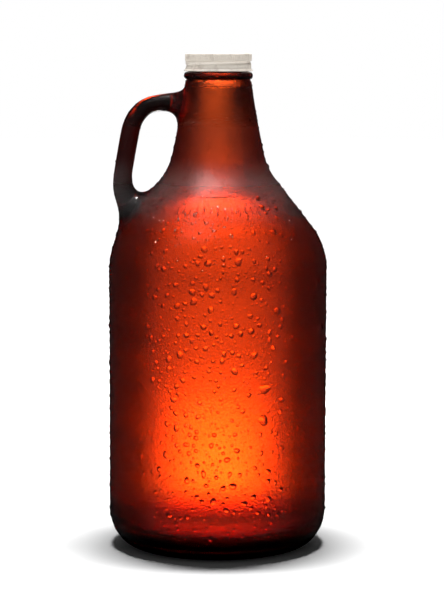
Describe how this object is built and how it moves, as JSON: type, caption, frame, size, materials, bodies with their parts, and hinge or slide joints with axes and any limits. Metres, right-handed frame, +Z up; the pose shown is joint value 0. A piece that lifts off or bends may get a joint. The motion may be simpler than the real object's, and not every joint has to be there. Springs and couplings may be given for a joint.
{
  "type": "beer bottle",
  "caption": "Large amber glass growler jug with a finger handle, filled with beer and shut with a ribbed metal screw cap.",
  "frame": {"origin": "centre of the base, on the surface the jug stands on", "axes": "+Z up along the body's axis, the finger handle on the -X side, the fill line facing -Y"},
  "size_m": [0.1266, 0.1267, 0.2834],
  "materials": {
    "amber_glass": "amber bottle glass, misted and beaded with condensation",
    "beer": "clear amber beer, still",
    "lacquered_tinplate": "off-white lacquer, satin, worn at the ribs"
  },
  "bodies": {
    "root": {"jug": "amber_glass", "beer": "beer", "cap": "lacquered_tinplate"}
  },
  "joints": []
}
